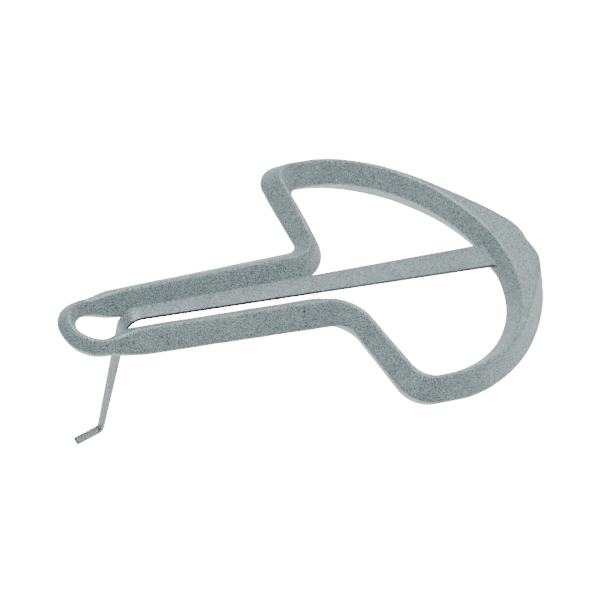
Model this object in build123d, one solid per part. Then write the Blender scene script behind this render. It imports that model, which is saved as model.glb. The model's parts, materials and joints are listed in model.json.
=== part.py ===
from build123d import *

import os
from math import atan2, cos, degrees, exp, hypot, pi, sin, tan

# A closed-frame jaw harp, in millimetres. One bar of diamond section forms two parallel arms
# that close in a small eye at the tip, square shoulders, and a D-shaped bow. A spring steel
# reed is clamped in the crown of the bow, runs between the arms and turns down as a trigger.
#
# The pieces are shaped in harp axes: the bar's mid-plane is z = 0, the crown is at +X, the tip
# is at -X, and both halves mirror each other in Y. The last step turns every piece about Y, so
# that the harp stands on its trigger and on the crown, with the base at z = 0.

os.makedirs("parts", exist_ok=True)

# Overall size
LENGTH = 90.0
CROWN_X = 7.0                    # outer edge of the crown
TIP_X = CROWN_X - LENGTH         # outer edge of the eye at the tip

# Bar section: half heights of its ridges, half width of the worn flat on them, and half height
# of its blunt inner and outer edges
EYE_HALF_HEIGHT = 1.7
ARM_HALF_HEIGHT = 2.75
BOW_HALF_HEIGHT = 3.15
RIDGE_HALF_FLAT = 0.45
EDGE_HALF_FLAT = 0.25

# Inner and outer edge of the bar, seen from above
EYE_INNER_RADIUS = 3.1
EYE_OUTER_RADIUS = 5.95
NECK_END_X = -71.4               # where the eye has closed into the slit
SLIT_HALF_AT_NECK = 1.4
SLIT_HALF_AT_ELBOW = 2.3
ARM_OUTER_AT_NECK = 7.3
ARM_OUTER_AT_ELBOW = 8.7
ELBOW_INNER_X = -30.6
ELBOW_OUTER_X = -34.2
ELBOW_INNER_RADIUS = 9.0
ELBOW_OUTER_RADIUS = 2.5
LOBE_INNER_X = -28.5
LOBE_OUTER_X = -32.7
LOBE_INNER_RADIUS = 2.6
LOBE_OUTER_RADIUS = 5.7
BOW_CENTRE_X = -23.7
CROWN_INNER_X = -1.4
BOW_INNER_HALF_WIDTH = 23.2
BOW_OUTER_HALF_WIDTH = 28.7
BOW_INNER_POWER = 2.0            # 2 is an ellipse, and less is more pointed
BOW_OUTER_POWER = 1.7

# Crown: the ridge moves inwards, and the outer side widens into a shallow facet that ends in a
# brow above a steep wall. Places are fractions of the bar's width from its inner edge.
CROWN_RIDGE_PLACE = {1: 0.2, -1: 0.26}     # above and below the mid-plane
CROWN_BROW_PLACE = {1: 0.88, -1: 0.9}
CROWN_BROW_HALF_HEIGHT = {1: 3.1, -1: 2.4}
NOSE_FULLNESS = 0.5              # how much the crown's outer corners stand out
NOSE_PLACE = 0.87
NOSE_SPREAD = 0.13

# Reed
REED_THICKNESS = 0.55
REED_HEIGHT_AT_CROWN = 0.65      # its middle above the bar's mid-plane
REED_HEIGHT_AT_BEND = 1.57
REED_CLAMP_DEPTH = 4.5           # how far it is sunk into the crown
REED_HALF_AT_CROWN = 2.55
REED_HALF_AT_BEND = 1.2
BEND_X = -72.1                   # middle of the trigger, where it would meet the blade
BEND_RADIUS = 2.3
TRIGGER_LENGTH = 26.2
TRIGGER_LEAN = 2.4               # towards the crown, over the trigger's length
TRIGGER_HALF_AT_TOP = 1.25
TRIGGER_HALF_AT_KINK = 0.66
KINK_REACH = 4.1
KINK_DROP = 2.1
KINK_RADIUS = 0.5
PIVOT_FRACTION = 0.15            # of the free reed, from the clamp to its bending line
PIVOT_GAP = 0.1

PIVOT_X = CROWN_INNER_X + (BEND_X - CROWN_INNER_X) * PIVOT_FRACTION
TRIGGER_FOOT = (BEND_X + TRIGGER_LEAN, REED_HEIGHT_AT_BEND - TRIGGER_LENGTH)
KINK_END = (TRIGGER_FOOT[0] - KINK_REACH, TRIGGER_FOOT[1] - KINK_DROP)

# Features of the bar, in order from the tip to the crown
EYE, NECK, ARM, ELBOW, SHOULDER, LOBE, SIDE, BOW = range(8)


def mix(a, b, t):
    return a + (b - a) * t


def ease(t):
    return t * t * (3 - 2 * t)


def fractions(count):
    return [i / (count - 1) for i in range(count)]


def towards(start, end, distance):
    t = distance / hypot(end[0] - start[0], end[1] - start[1])
    return (mix(start[0], end[0], t), mix(start[1], end[1], t))


def round_corner(before, corner, after, radius):
    """Points on the arc that rounds a corner of a plan curve, from one side to the other."""
    heading_in = atan2(corner[1] - before[1], corner[0] - before[0])
    heading_out = atan2(after[1] - corner[1], after[0] - corner[0])
    turn = heading_out - heading_in
    side = 1 if turn > 0 else -1
    start = towards(corner, before, radius * tan(abs(turn) / 2))
    centre = (start[0] - side * radius * sin(heading_in),
              start[1] + side * radius * cos(heading_in))
    points = []
    for t in fractions(9):
        heading = heading_in + turn * t
        points.append((centre[0] + side * radius * sin(heading),
                       centre[1] - side * radius * cos(heading)))
    return points


def plan_curve(eye_radius, slit, arm, elbow_x, elbow_radius, lobe_x, lobe_radius, crown_x,
               half_width, power, nose):
    """The half with y >= 0 of one edge of the bar: a list of points for each feature.

    slit and arm are the half widths at the neck and at the elbow.
    """
    eye_x = TIP_X + EYE_OUTER_RADIUS
    eye = [(eye_x - eye_radius * cos(t * pi / 2), eye_radius * sin(t * pi / 2))
           for t in fractions(11)]
    neck = [(mix(eye_x, NECK_END_X, t), mix(eye_radius, slit, ease(t))) for t in fractions(9)]
    bow_start = (BOW_CENTRE_X, half_width)
    elbow = round_corner(neck[-1], (elbow_x, arm), (lobe_x, half_width), elbow_radius)
    lobe = round_corner((elbow_x, arm), (lobe_x, half_width), bow_start, lobe_radius)
    bow = [bow_start]
    for t in fractions(17)[1:-1]:
        fullness = nose * exp(-((t - NOSE_PLACE) / NOSE_SPREAD) ** 2) * min(1.0, (1 - t) / 0.12)
        reach = (crown_x - BOW_CENTRE_X) * sin(t * pi / 2) ** (2 / power)
        bow.append((BOW_CENTRE_X + reach + fullness,
                    half_width * cos(t * pi / 2) ** (2 / power)))
    bow.append((crown_x, 0.0))
    return [eye, neck, [neck[-1], elbow[0]], elbow, [elbow[-1], lobe[0]], lobe,
            [lobe[-1], bow_start], bow]


INNER_EDGE = plan_curve(EYE_INNER_RADIUS, SLIT_HALF_AT_NECK, SLIT_HALF_AT_ELBOW, ELBOW_INNER_X,
                        ELBOW_INNER_RADIUS, LOBE_INNER_X, LOBE_INNER_RADIUS, CROWN_INNER_X,
                        BOW_INNER_HALF_WIDTH, BOW_INNER_POWER, 0.0)
OUTER_EDGE = plan_curve(EYE_OUTER_RADIUS, ARM_OUTER_AT_NECK, ARM_OUTER_AT_ELBOW, ELBOW_OUTER_X,
                        ELBOW_OUTER_RADIUS, LOBE_OUTER_X, LOBE_OUTER_RADIUS, CROWN_X,
                        BOW_OUTER_HALF_WIDTH, BOW_OUTER_POWER, NOSE_FULLNESS)


def blunt_height(feature, t, side):
    return EDGE_HALF_FLAT


def ridge_height(feature, t, side):
    if feature == EYE:
        return EYE_HALF_HEIGHT
    if feature == NECK:
        return mix(EYE_HALF_HEIGHT, ARM_HALF_HEIGHT, ease(t))
    if feature == SHOULDER:
        return mix(ARM_HALF_HEIGHT, BOW_HALF_HEIGHT, t)
    return ARM_HALF_HEIGHT if feature in (ARM, ELBOW) else BOW_HALF_HEIGHT


def brow_height(feature, t, side):
    if feature == BOW:
        return mix(BOW_HALF_HEIGHT, CROWN_BROW_HALF_HEIGHT[side], t * t)
    return ridge_height(feature, t, side)


def inner_place(feature, t, width, side):
    return 0.0


def outer_place(feature, t, width, side):
    return 1.0


def crown_share(t, start, side):
    """How far a long edge of the bow has moved to its place at the crown."""
    return ease(min(max((t - start) / (0.9 - start), 0.0), 1.0)) if side > 0 else t * t


def ridge_place(feature, t, width, side):
    start = 0.5 - RIDGE_HALF_FLAT / width
    if feature == BOW:
        return mix(start, CROWN_RIDGE_PLACE[side], crown_share(t, 0.25, side))
    return start


def brow_place(feature, t, width, side):
    start = 0.5 + RIDGE_HALF_FLAT / width
    if feature == BOW:
        return mix(start, CROWN_BROW_PLACE[side], crown_share(t, 0.54, side))
    return start


def ring(place, height, side):
    """One long edge of the bar: side is 1 above the mid-plane and -1 below it."""
    curves = []
    for feature, (inner, outer) in enumerate(zip(INNER_EDGE, OUTER_EDGE)):
        points = []
        for t, a, b in zip(fractions(len(inner)), inner, outer):
            u = place(feature, t, hypot(b[0] - a[0], b[1] - a[1]), side)
            points.append(Vector(mix(a[0], b[0], u), mix(a[1], b[1], u),
                                 side * height(feature, t, side)))
        curves.append(points)
    return curves


def rings(side):
    """The four long edges on one side of the mid-plane, from the inner to the outer."""
    return [ring(inner_place, blunt_height, side), ring(ridge_place, ridge_height, side),
            ring(brow_place, brow_height, side), ring(outer_place, blunt_height, side)]


def as_edge(points):
    return Edge.make_line(*points) if len(points) == 2 else Edge.make_spline(points)


def bar():
    """The whole bar: ruled strips between its eight long edges, sewn into one closed solid."""
    loop = rings(1) + rings(-1)[::-1]
    faces = []
    for first, second in zip(loop, loop[1:] + loop[:1]):
        for first_points, second_points in zip(first, second):
            strip = Face.make_surface_from_curves(as_edge(first_points), as_edge(second_points))
            faces += [strip, strip.mirror(Plane.XZ)]
    return Solid(Shell(faces))


def along_reed(at_crown, at_bend, x):
    return mix(at_crown, at_bend, (CROWN_INNER_X - x) / (CROWN_INNER_X - BEND_X))


def on_blade(x):
    return (x, along_reed(REED_HEIGHT_AT_CROWN, REED_HEIGHT_AT_BEND, x))


def offset_path(points, distance):
    """An open path in the XZ plane moved sideways by a distance, with mitred corners."""
    headings = [atan2(b[1] - a[1], b[0] - a[0]) for a, b in zip(points, points[1:])]
    befores = headings[:1] + headings
    afters = headings + headings[-1:]
    moved = []
    for point, before, after in zip(points, befores, afters):
        middle = (before + after) / 2
        reach = distance / cos((after - before) / 2)
        moved.append((point[0] - reach * sin(middle), point[1] + reach * cos(middle)))
    return moved


def both_sides(path):
    return offset_path(path, REED_THICKNESS / 2), offset_path(path, -REED_THICKNESS / 2)


def side_view(path, roundings):
    """The reed in side view along a path, with its corners rounded."""
    one_side, other_side = both_sides(path)
    profile = Plane.XZ * Polygon(*one_side, *reversed(other_side), align=None)
    for i, (radius, other_radius) in enumerate(roundings):
        for corner, rounding in ((one_side[i + 1], radius), (other_side[i + 1], other_radius)):
            place = Vector(corner[0], 0, corner[1])
            nearest = profile.vertices().sort_by(lambda v: (Vector(*v) - place).length)[0]
            profile = fillet(nearest, rounding)
    return profile


def tapered(profile, start_x, end_x):
    """A side view given its width: the blade narrows evenly as seen from above."""
    halves = [along_reed(REED_HALF_AT_CROWN, REED_HALF_AT_BEND, x) for x in (start_x, end_x)]
    outline = Polygon((start_x, -halves[0]), (start_x, halves[0]), (end_x, halves[1]),
                      (end_x, -halves[1]), align=None)
    from_above = Pos(0, 0, -LENGTH) * extrude(outline, 2 * LENGTH, dir=(0, 0, 1))
    return extrude(profile, 2 * REED_HALF_AT_CROWN, both=True) & from_above


def trigger_taper():
    """What the turned-down end keeps of its width, seen from the front."""
    top_z = REED_HEIGHT_AT_BEND + LENGTH
    start_z = REED_HEIGHT_AT_BEND - REED_THICKNESS - BEND_RADIUS
    wide = 2 * REED_HALF_AT_CROWN
    right = [(wide, top_z), (wide, start_z), (TRIGGER_HALF_AT_TOP, start_z),
             (TRIGGER_HALF_AT_KINK, TRIGGER_FOOT[1]),
             (TRIGGER_HALF_AT_KINK, KINK_END[1] - LENGTH)]
    left = [(-y, z) for y, z in reversed(right)]
    front_view = Plane.YZ * Polygon(*right, *left, align=None)
    return extrude(front_view, 2 * LENGTH, dir=(-1, 0, 0))


def rest_angle():
    """The slope, in harp axes, of the level that touches the trigger's end and the crown."""
    bar_points = [point for curves in rings(-1) for points in curves for point in points]
    slopes = []
    for side in both_sides([on_blade(BEND_X + 1), on_blade(BEND_X), TRIGGER_FOOT, KINK_END]):
        foot = side[-1]
        slopes.append(min(atan2(p.Z - foot[1], p.X - foot[0]) for p in bar_points
                          if p.X > foot[0] + LENGTH / 2))
    return degrees(max(slopes))


root_start_x = CROWN_INNER_X + REED_CLAMP_DEPTH
root_path = [on_blade(root_start_x), on_blade(PIVOT_X + PIVOT_GAP / 2)]
tongue_path = [on_blade(PIVOT_X - PIVOT_GAP / 2), on_blade(BEND_X), TRIGGER_FOOT, KINK_END]
bends = ((BEND_RADIUS, BEND_RADIUS + REED_THICKNESS), (KINK_RADIUS + REED_THICKNESS, KINK_RADIUS))
reed_root = tapered(side_view(root_path, ()), root_start_x + 1, PIVOT_X - 1)
reed_tongue = tapered(side_view(tongue_path, bends), PIVOT_X + 1, BEND_X - 4) & trigger_taper()
frame = bar() - reed_root

pieces = {"frame": frame, "reed_root": reed_root, "reed_tongue": reed_tongue}
stand = Rot(0, rest_angle(), 0)
box = Compound([stand * piece for piece in pieces.values()]).bounding_box()
place = Pos(-box.center().X, -box.center().Y, -box.min.Z) * stand
for name, piece in pieces.items():
    export_step(place * piece, f"parts/{name}.step")
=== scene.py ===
"""Looks of the jaw harp. Shapes are given in millimetres in harp axes, as in part.py: the bar's
mid-plane is z = 0, the crown is at +X and the tip is at -X. to_row() turns them into the row
frame, in metres, where the harp stands on its trigger and on its crown."""
import json
from math import atan2, cos, hypot, pi, radians, sin, tan

import bpy
from mathutils import Matrix, Vector, noise


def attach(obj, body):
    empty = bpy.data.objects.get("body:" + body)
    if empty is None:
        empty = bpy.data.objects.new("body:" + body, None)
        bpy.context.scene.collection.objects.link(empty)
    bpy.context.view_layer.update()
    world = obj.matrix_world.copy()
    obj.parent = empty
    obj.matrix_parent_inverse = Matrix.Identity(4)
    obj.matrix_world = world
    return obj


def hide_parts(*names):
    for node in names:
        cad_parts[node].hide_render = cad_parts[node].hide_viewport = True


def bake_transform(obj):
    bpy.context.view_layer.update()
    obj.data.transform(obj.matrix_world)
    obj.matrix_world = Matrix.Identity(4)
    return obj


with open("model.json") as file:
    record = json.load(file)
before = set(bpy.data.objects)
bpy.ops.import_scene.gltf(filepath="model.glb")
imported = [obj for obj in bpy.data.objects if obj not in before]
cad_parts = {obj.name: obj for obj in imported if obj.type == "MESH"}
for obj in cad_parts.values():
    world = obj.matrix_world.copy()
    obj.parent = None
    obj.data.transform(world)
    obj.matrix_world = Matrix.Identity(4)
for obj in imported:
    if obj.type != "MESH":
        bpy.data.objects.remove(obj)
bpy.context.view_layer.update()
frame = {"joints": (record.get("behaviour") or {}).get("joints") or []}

# Frame bar. The same as part.py, but for the half heights, which make up for the rounding of the
# edges, and for the bump on the crown's nose.
CROWN_X = 7.0
TIP_X = -83.0
EYE_HALF_HEIGHT = 1.75
ARM_HALF_HEIGHT = 2.85
BOW_HALF_HEIGHT = 3.2
RIDGE_HALF_FLAT = 0.3
EYE_INNER_RADIUS = 3.1
EYE_OUTER_RADIUS = 5.95
NECK_END_X = -71.4
SLIT_HALF_AT_NECK = 1.4
SLIT_HALF_AT_ELBOW = 2.3
ARM_OUTER_AT_NECK = 7.3
ARM_OUTER_AT_ELBOW = 8.7
ELBOW_INNER_X = -30.6
ELBOW_OUTER_X = -34.2
ELBOW_INNER_RADIUS = 9.0
ELBOW_OUTER_RADIUS = 2.5
LOBE_INNER_X = -28.5
LOBE_OUTER_X = -32.7
LOBE_INNER_RADIUS = 2.6
LOBE_OUTER_RADIUS = 5.7
BOW_CENTRE_X = -23.7
CROWN_INNER_X = -1.4
BOW_INNER_HALF_WIDTH = 23.2
BOW_OUTER_HALF_WIDTH = 28.7
BOW_INNER_POWER = 2.0
BOW_OUTER_POWER = 1.7
CROWN_RIDGE_PLACE = {1: 0.2, -1: 0.26}     # above and below the mid-plane
CROWN_BROW_PLACE = {1: 0.88, -1: 0.9}
CROWN_BROW_HALF_HEIGHT = {1: 3.1, -1: 2.4}
RIDGE_MOVES_FROM = 0.25          # share of the bow where the ridge starts towards its crown place
BROW_MOVES_FROM = 0.54
IN_PLACE_FROM = 0.9              # share of the bow from which both hold their crown place
NOSE_FULLNESS = 0.6              # how much the crown's outer edge stands out beside its middle
NOSE_LATENESS = 5                # the higher, the closer that bump is to the middle

# Softness of the bar's long edges: how far back from each corner its rounding starts
EDGE_ROUNDING = 0.4
RIDGE_ROUNDING = 0.45
LONGEST_ROUNDING = 0.48          # share of a facet that one corner's rounding may take
CORNER_STEPS = 6
FACE_STEPS = 3
STATIONS = {"eye": 30, "neck": 22, "arm": 60, "elbow": 26, "shoulder": 24, "lobe": 22,
            "side": 6, "bow": 90}

# Reed
REED_HEIGHT_AT_CROWN = 0.65
REED_HEIGHT_AT_BEND = 1.57
REED_END_X = 2.4                 # hidden end, inside the crown
REED_THICKNESS = 0.55
REED_HALF_AT_CROWN = 2.55
REED_HALF_AT_BEND = 1.2
REED_EDGE_BEVEL = 0.08
BEND_X = -72.1
BEND_RADIUS = 2.5
TRIGGER_LENGTH = 26.2
TRIGGER_LEAN = 2.4
TRIGGER_HALF_AT_TOP = 1.25
TRIGGER_HALF_AT_KINK = 0.66
KINK_REACH = 4.1
KINK_DROP = 2.1
KINK_RADIUS = 0.75
LENGTH_STEPS = 70                # stations along the blade and along the trigger
BEND_STEPS = 20
KINK_STEPS = 12

# Place of the harp in the row frame: its tilt at rest, and one point that both frames share
REST_TILT = radians(17.109)
PIVOT = Vector((-12.005, 0.0, 0.788))

# Small casting pits on the bar, drawn only as painted shade (dark spots in the base colour):
# where, and how large
PIT_SHADE_SPOTS = (((-38.95, -8.05, 0.35), 0.4), ((-42.06, -6.22, 2.15), 0.6), ((-27.8, 23.3, 0.2), 0.6),
         ((-14.15, -21.8, 1.35), 0.55))
# Painted shade: the dark line of contact shadow where the crown closes over the reed, as a row of
# overlapping small dark spots
JOINT_CONTACT_SHADE = tuple(((-1.95, 0.4 * step, 0.93), 0.3) for step in range(-6, 7))

tilt = Matrix.Rotation(REST_TILT, 3, "Y")
pivot_in_row = Vector(frame["joints"][0]["pos_m"])


def to_row(point):
    return pivot_in_row + tilt @ (Vector(point) - PIVOT) / 1000


def mix(a, b, t):
    return a + (b - a) * t


def ease(t):
    return t * t * (3 - 2 * t)


def fractions(count):
    return [i / (count - 1) for i in range(count)]


# ---- plan curves of the bar, seen from above -------------------------------------------------

def towards(start, end, distance):
    t = distance / hypot(end[0] - start[0], end[1] - start[1])
    return (mix(start[0], end[0], t), mix(start[1], end[1], t))


def line(start, end, count):
    return [(mix(start[0], end[0], t), mix(start[1], end[1], t)) for t in fractions(count)]


def round_corner(before, corner, after, radius, count):
    heading_in = atan2(corner[1] - before[1], corner[0] - before[0])
    heading_out = atan2(after[1] - corner[1], after[0] - corner[0])
    turn = (heading_out - heading_in + pi) % (2 * pi) - pi
    side = 1 if turn > 0 else -1
    start = towards(corner, before, radius * tan(abs(turn) / 2))
    centre = (start[0] - side * radius * sin(heading_in),
              start[1] + side * radius * cos(heading_in))
    points = []
    for t in fractions(count):
        heading = heading_in + turn * t
        points.append((centre[0] + side * radius * sin(heading),
                       centre[1] - side * radius * cos(heading)))
    return points


def plan_curve(eye_radius, slit, arm, elbow_x, elbow_radius, lobe_x, lobe_radius, crown_x,
               half_width, power, nose):
    """The half with y >= 0 of one edge of the bar, as points from the tip to the crown."""
    eye_x = TIP_X + EYE_OUTER_RADIUS
    eye = [(eye_x - eye_radius * cos(t * pi / 2), eye_radius * sin(t * pi / 2))
           for t in fractions(STATIONS["eye"])]
    neck = [(mix(eye_x, NECK_END_X, t), mix(eye_radius, slit, 0.5 * (ease(t) + t)))
            for t in fractions(STATIONS["neck"])]
    bow_start = (BOW_CENTRE_X, half_width)
    elbow_corner = (elbow_x, arm)
    lobe_corner = (lobe_x, half_width)
    elbow = round_corner(neck[-1], elbow_corner, lobe_corner, elbow_radius, STATIONS["elbow"])
    lobe = round_corner(elbow_corner, lobe_corner, bow_start, lobe_radius, STATIONS["lobe"])
    bow = []
    for t in fractions(STATIONS["bow"]):
        fullness = nose * sin(pi * t ** NOSE_LATENESS) ** 2
        reach = (crown_x - BOW_CENTRE_X) * sin(t * pi / 2) ** (2 / power)
        bow.append((BOW_CENTRE_X + reach + fullness,
                    half_width * max(cos(t * pi / 2), 0.0) ** (2 / power)))
    return [eye, neck, line(neck[-1], elbow[0], STATIONS["arm"]), elbow,
            line(elbow[-1], lobe[0], STATIONS["shoulder"]), lobe,
            line(lobe[-1], bow_start, STATIONS["side"]), bow]


EYE, NECK, ARM, ELBOW, SHOULDER, LOBE, SIDE, BOW = range(8)


def ridge_height(feature, t):
    if feature == EYE:
        return EYE_HALF_HEIGHT
    if feature == NECK:
        return mix(EYE_HALF_HEIGHT, ARM_HALF_HEIGHT, ease(t))
    if feature == SHOULDER:
        return mix(ARM_HALF_HEIGHT, BOW_HALF_HEIGHT, t)
    return ARM_HALF_HEIGHT if feature in (ARM, ELBOW) else BOW_HALF_HEIGHT


def crown_share(t, start, side):
    """How far a long edge of the bow has moved to its place at the crown."""
    return ease(min(max((t - start) / (IN_PLACE_FROM - start), 0.0), 1.0)) if side > 0 else t * t


def section(feature, t, inner, outer):
    """The six corners of the bar's section at one station, in harp axes."""
    width = hypot(outer[0] - inner[0], outer[1] - inner[1])
    out = ((outer[0] - inner[0]) / width, (outer[1] - inner[1]) / width)
    grow = 0.5 * EDGE_ROUNDING
    places = {}
    for side in (1, -1):
        ridge = 0.5 - RIDGE_HALF_FLAT / width
        brow = 0.5 + RIDGE_HALF_FLAT / width
        height = ridge_height(feature, t)
        brow_height = height
        if feature == BOW:
            ridge = mix(ridge, CROWN_RIDGE_PLACE[side], crown_share(t, RIDGE_MOVES_FROM, side))
            brow = mix(brow, CROWN_BROW_PLACE[side], crown_share(t, BROW_MOVES_FROM, side))
            brow_height = mix(height, CROWN_BROW_HALF_HEIGHT[side], t * t)
        places[side] = ((ridge * width, side * height), (brow * width, side * brow_height))
    loop = [(-grow, 0.0), *places[1], (width + grow, 0.0), *reversed(places[-1])]
    return [Vector((inner[0] + out[0] * along, inner[1] + out[1] * along, z))
            for along, z in loop]


def rounded_section(corners):
    """The same section with soft corners, as a closed loop of points."""
    roundings = [EDGE_ROUNDING, RIDGE_ROUNDING, RIDGE_ROUNDING] * 2
    starts = []
    ends = []
    for i, corner in enumerate(corners):
        before = corners[i - 1] - corner
        after = corners[(i + 1) % 6] - corner
        back = min(roundings[i], LONGEST_ROUNDING * before.length)
        forward = min(roundings[i], LONGEST_ROUNDING * after.length)
        starts.append(corner + before.normalized() * back)
        ends.append(corner + after.normalized() * forward)
    loop = []
    for i, corner in enumerate(corners):
        for t in fractions(CORNER_STEPS):
            loop.append(starts[i] * (1 - t) ** 2 + corner * 2 * t * (1 - t) + ends[i] * t * t)
        following = starts[(i + 1) % 6]
        for k in range(1, FACE_STEPS):
            loop.append(ends[i].lerp(following, k / FACE_STEPS))
    return loop


def bar_stations():
    inner = plan_curve(EYE_INNER_RADIUS, SLIT_HALF_AT_NECK, SLIT_HALF_AT_ELBOW, ELBOW_INNER_X,
                       ELBOW_INNER_RADIUS, LOBE_INNER_X, LOBE_INNER_RADIUS, CROWN_INNER_X,
                       BOW_INNER_HALF_WIDTH, BOW_INNER_POWER, 0.0)
    outer = plan_curve(EYE_OUTER_RADIUS, ARM_OUTER_AT_NECK, ARM_OUTER_AT_ELBOW, ELBOW_OUTER_X,
                       ELBOW_OUTER_RADIUS, LOBE_OUTER_X, LOBE_OUTER_RADIUS, CROWN_X,
                       BOW_OUTER_HALF_WIDTH, BOW_OUTER_POWER, NOSE_FULLNESS)
    half = []
    for feature, (a, b) in enumerate(zip(inner, outer)):
        for t, p, q in zip(fractions(len(a)), a, b):
            if feature != EYE and t == 0:
                continue
            half.append(rounded_section(section(feature, t, p, q)))
    other = [[Vector((p.x, -p.y, p.z)) for p in loop] for loop in half[1:-1]]
    return half + other[::-1]


def cast_surface(point, normal):
    """A point of the bar moved by the unevenness of the casting."""
    wave = noise.noise(point * 0.16) * 0.05 + noise.noise(point * 0.45 + Vector((9, 4, 2))) * 0.03
    wave += noise.noise(point * 1.3 + Vector((2, 7, 5))) * 0.012
    return point + normal * wave


def mesh_object(name, vertices, faces):
    mesh = bpy.data.meshes.new(name)
    mesh.from_pydata(vertices, [], faces)
    mesh.validate()
    mesh.update()
    mesh.shade_smooth()
    obj = bpy.data.objects.new(name, mesh)
    bpy.context.scene.collection.objects.link(obj)
    return obj


def grid_faces(rows, columns, closed_rows):
    faces = []
    for i in range(rows if closed_rows else rows - 1):
        for j in range(columns):
            k = (i + 1) % rows
            m = (j + 1) % columns
            faces.append((i * columns + j, i * columns + m, k * columns + m, k * columns + j))
    return faces


def make_bar():
    loops = bar_stations()
    columns = len(loops[0])
    faces = grid_faces(len(loops), columns, True)
    points = [point for loop in loops for point in loop]
    bar = mesh_object("cast_frame", points, faces)
    normals = [v.normal.copy() for v in bar.data.vertices]
    for vertex, normal in zip(bar.data.vertices, normals):
        vertex.co = to_row(cast_surface(vertex.co.copy(), normal))
    bar.data.update()
    return bar


# ---- reed ------------------------------------------------------------------------------------

def along_reed(at_crown, at_bend, x):
    return mix(at_crown, at_bend, (CROWN_INNER_X - x) / (CROWN_INNER_X - BEND_X))


def on_blade(x):
    return (x, along_reed(REED_HEIGHT_AT_CROWN, REED_HEIGHT_AT_BEND, x))


def reed_path():
    """The reed's middle line in side view: blade, bend, trigger and kink."""
    foot = (BEND_X + TRIGGER_LEAN, REED_HEIGHT_AT_BEND - TRIGGER_LENGTH)
    end = (foot[0] - KINK_REACH, foot[1] - KINK_DROP)
    corners = (on_blade(REED_END_X), on_blade(BEND_X), foot, end)
    path = [corners[0]]
    for i, radius in ((1, BEND_RADIUS), (2, KINK_RADIUS)):
        arc = round_corner(corners[i - 1], corners[i], corners[i + 1], radius, BEND_STEPS)
        path += line(path[-1], arc[0], LENGTH_STEPS)[1:-1] + arc
    return path + line(path[-1], end, KINK_STEPS)[1:], foot[1]


def strip_section(centre, up, half):
    """A flat section, the strip's width along Y, with lightly broken corners."""
    high = REED_THICKNESS / 2
    bevel = REED_EDGE_BEVEL
    corner = [(half - bevel, high), (half - bevel * 0.3, high - bevel * 0.3), (half, high - bevel)]
    loop = []
    for side, top in ((1, 1), (-1, 1), (-1, -1), (1, -1)):
        for y, z in corner if side * top < 0 else corner[::-1]:
            loop.append(centre + Vector((0, y * side, 0)) + up * (z * top))
    return loop


def make_reed():
    path, foot_z = reed_path()
    taper_z = REED_HEIGHT_AT_BEND - BEND_RADIUS
    loops = []
    for i, (x, z) in enumerate(path):
        ahead = path[min(i + 1, len(path) - 1)]
        behind = path[max(i - 1, 0)]
        heading = Vector((ahead[0] - behind[0], 0.0, ahead[1] - behind[1])).normalized()
        if z > taper_z:
            half = along_reed(REED_HALF_AT_CROWN, REED_HALF_AT_BEND, x)
        else:
            down = min((taper_z - z) / (taper_z - foot_z), 1.0)
            half = mix(TRIGGER_HALF_AT_TOP, TRIGGER_HALF_AT_KINK, down)
        loops.append(strip_section(Vector((x, 0, z)), heading.cross(Vector((0, 1, 0))), half))
    columns = len(loops[0])
    faces = grid_faces(len(loops), columns, False)
    faces.append(tuple(range(columns))[::-1])
    faces.append(tuple(range(len(loops) * columns - columns, len(loops) * columns)))
    reed = mesh_object("spring_reed", [point for loop in loops for point in loop], faces)
    for vertex in reed.data.vertices:
        vertex.co = to_row(vertex.co)
    reed.data.update()
    return reed


# ---- materials -------------------------------------------------------------------------------

def new_node(nodes, kind, **values):
    node = nodes.new(kind)
    for name, value in values.items():
        node.inputs[name.replace("_", " ")].default_value = value
    return node


def blasted_metal(name, dark, light, roughness, grain):
    """A grey blasted metal: a fine speckle over slow changes of shade, and a grainy bump."""
    material = bpy.data.materials.new(name)
    material.use_nodes = True
    nodes = material.node_tree.nodes
    links = material.node_tree.links
    shader = nodes["Principled BSDF"]
    shader.inputs["Metallic"].default_value = 0.35
    shader.inputs["Roughness"].default_value = roughness
    place = nodes.new("ShaderNodeTexCoord")
    fine = new_node(nodes, "ShaderNodeTexNoise", Scale=grain, Detail=2.0, Roughness=0.6)
    slow = new_node(nodes, "ShaderNodeTexNoise", Scale=260.0, Detail=2.0, Roughness=0.5)
    for texture in (fine, slow):
        links.new(place.outputs["Object"], texture.inputs["Vector"])
    sharpen = new_node(nodes, "ShaderNodeMapRange", From_Min=0.42, From_Max=0.58)
    links.new(fine.outputs["Fac"], sharpen.inputs["Value"])
    shade = nodes.new("ShaderNodeMix")
    shade.data_type = "FLOAT"
    shade.inputs["Factor"].default_value = 0.25
    links.new(sharpen.outputs["Result"], shade.inputs["A"])
    links.new(slow.outputs["Fac"], shade.inputs["B"])
    ramp = nodes.new("ShaderNodeValToRGB")
    ramp.color_ramp.elements[0].color = (*dark, 1)
    ramp.color_ramp.elements[1].color = (*light, 1)
    links.new(shade.outputs["Result"], ramp.inputs["Fac"])
    links.new(ramp.outputs["Color"], shader.inputs["Base Color"])
    bump = new_node(nodes, "ShaderNodeBump", Strength=0.5, Distance=0.00006)
    links.new(fine.outputs["Fac"], bump.inputs["Height"])
    links.new(bump.outputs["Normal"], shader.inputs["Normal"])
    return material


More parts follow.
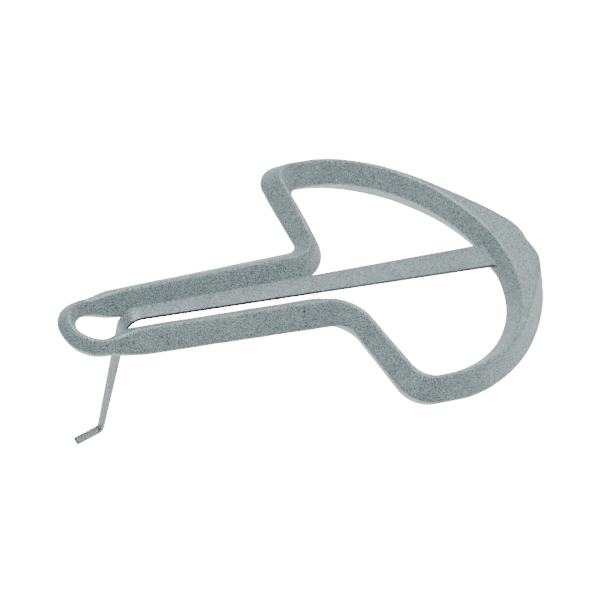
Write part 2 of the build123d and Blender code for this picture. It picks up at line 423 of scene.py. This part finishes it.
def add_painted_shade_spots(material, shade_spots, darkness=0.85):
    """Painted shade: small dark spots with ragged rims, mixed into the base colour: (place, size)
    in harp axes.
    """
    nodes = material.node_tree.nodes
    links = material.node_tree.links
    shader = nodes["Principled BSDF"]
    place = nodes.new("ShaderNodeTexCoord")
    ragged = new_node(nodes, "ShaderNodeTexNoise", Scale=2600.0, Detail=2.0)
    links.new(place.outputs["Object"], ragged.inputs["Vector"])
    for centre, size in shade_spots:
        away = nodes.new("ShaderNodeVectorMath")
        away.operation = "DISTANCE"
        away.inputs[1].default_value = to_row(centre)
        links.new(place.outputs["Object"], away.inputs[0])
        rim = nodes.new("ShaderNodeMath")
        rim.operation = "MULTIPLY_ADD"
        links.new(ragged.outputs["Fac"], rim.inputs[0])
        rim.inputs[1].default_value = size * 0.001
        links.new(away.outputs["Value"], rim.inputs[2])
        inside = new_node(nodes, "ShaderNodeMapRange", From_Min=size * 0.0007,
                          From_Max=size * 0.0011, To_Min=darkness, To_Max=0.0)
        links.new(rim.outputs["Value"], inside.inputs["Value"])
        darken = nodes.new("ShaderNodeMix")
        darken.data_type = "RGBA"
        colour = shader.inputs["Base Color"].links[0].from_socket
        links.new(inside.outputs["Result"], darken.inputs[0])
        links.new(colour, darken.inputs[6])
        darken.inputs[7].default_value = (0.012, 0.02, 0.022, 1)
        links.new(darken.outputs[2], shader.inputs["Base Color"])


frame_metal = blasted_metal("blasted_casting", dark=(0.055, 0.105, 0.112),
                            light=(0.49, 0.6, 0.605), roughness=0.5, grain=6200.0)
reed_metal = blasted_metal("blasted_spring_steel", dark=(0.055, 0.1, 0.106),
                           light=(0.455, 0.545, 0.55), roughness=0.45, grain=6400.0)
# Painted shade: dark spots for the casting pits on the frame, and for the contact shadow where the
# crown closes over the reed on both metals
add_painted_shade_spots(frame_metal, PIT_SHADE_SPOTS)
for metal in (frame_metal, reed_metal):
    add_painted_shade_spots(metal, JOINT_CONTACT_SHADE, 0.5)
# Painted shade: a dark material for the blade's long sides, in place of the shade in the gaps
# beside the blade
gap_shade_material = blasted_metal("painted_gap_shade_steel", dark=(0.03, 0.045, 0.05),
                             light=(0.1, 0.13, 0.14), roughness=0.5, grain=3000.0)

bar = make_bar()
bar.data.materials.append(frame_metal)
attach(bar, "frame")
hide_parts("frame")

reed = make_reed()
reed.data.materials.append(reed_metal)
reed.data.materials.append(gap_shade_material)
# The blade's two long sides get a dark material, painted shade of the narrow gaps between the
# blade and the arms; the trigger's sides keep the blasted look
for face in reed.data.polygons:
    if abs(face.normal.y) > 0.8 and face.center.x > to_row((BEND_X, 0, 0)).x:
        face.material_index = 1
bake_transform(reed)
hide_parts("reed_root", "reed_tongue")


# ---- floor, light and camera -----------------------------------------------------------------

def make_floor():
    size = 1.5
    floor = mesh_object("floor", [(-size, -size, 0), (size, -size, 0), (size, size, 0),
                                  (-size, size, 0)], [(0, 1, 2, 3)])
    paper = bpy.data.materials.new("white_table")
    paper.use_nodes = True
    shader = paper.node_tree.nodes["Principled BSDF"]
    shader.inputs["Base Color"].default_value = (0.9, 0.9, 0.9, 1)
    shader.inputs["Roughness"].default_value = 0.8
    shader.inputs["Emission Color"].default_value = (1, 1, 1, 1)
    shader.inputs["Emission Strength"].default_value = 16.0
    floor.data.materials.append(paper)
    floor.visible_diffuse = False
    floor.visible_glossy = False
    floor.visible_shadow = False


def area_light(name, place, aim, width, power):
    data = bpy.data.lights.new(name, "AREA")
    data.size = width
    data.energy = power
    light = bpy.data.objects.new(name, data)
    light.location = place
    light.rotation_euler = (Vector(aim) - Vector(place)).to_track_quat("-Z", "Y").to_euler()
    bpy.context.scene.collection.objects.link(light)


make_floor()
area_light("overhead_softbox", (0.15, 0.15, 0.9), (0, 0, 0), 0.7, 12.5)
area_light("back_softbox", (0.6, 0.5, 0.45), (0, 0, 0), 0.5, 1.3)
area_light("table_glow", (0, 0, -0.02), (0, 0, 1), 1.5, 14.5)

world = bpy.data.worlds.new("studio")
world.use_nodes = True
world.node_tree.nodes["Background"].inputs["Color"].default_value = (1, 1, 1, 1)
world.node_tree.nodes["Background"].inputs["Strength"].default_value = 0.12
bpy.context.scene.world = world

camera_data = bpy.data.cameras.new("camera")
camera_data.sensor_width = 36.0
camera_data.lens = 204.74
camera_data.clip_start = 0.01
camera = bpy.data.objects.new("camera", camera_data)
camera.location = (-0.1687, -0.31768, 0.44254)
aim = Vector((-0.00062, 0.00014, 0.01313))
look = (aim - camera.location).to_track_quat("-Z", "Y").to_matrix()
camera.rotation_euler = (look @ Matrix.Rotation(radians(0.163), 3, "Z")).to_euler()
bpy.context.scene.collection.objects.link(camera)
bpy.context.scene.camera = camera
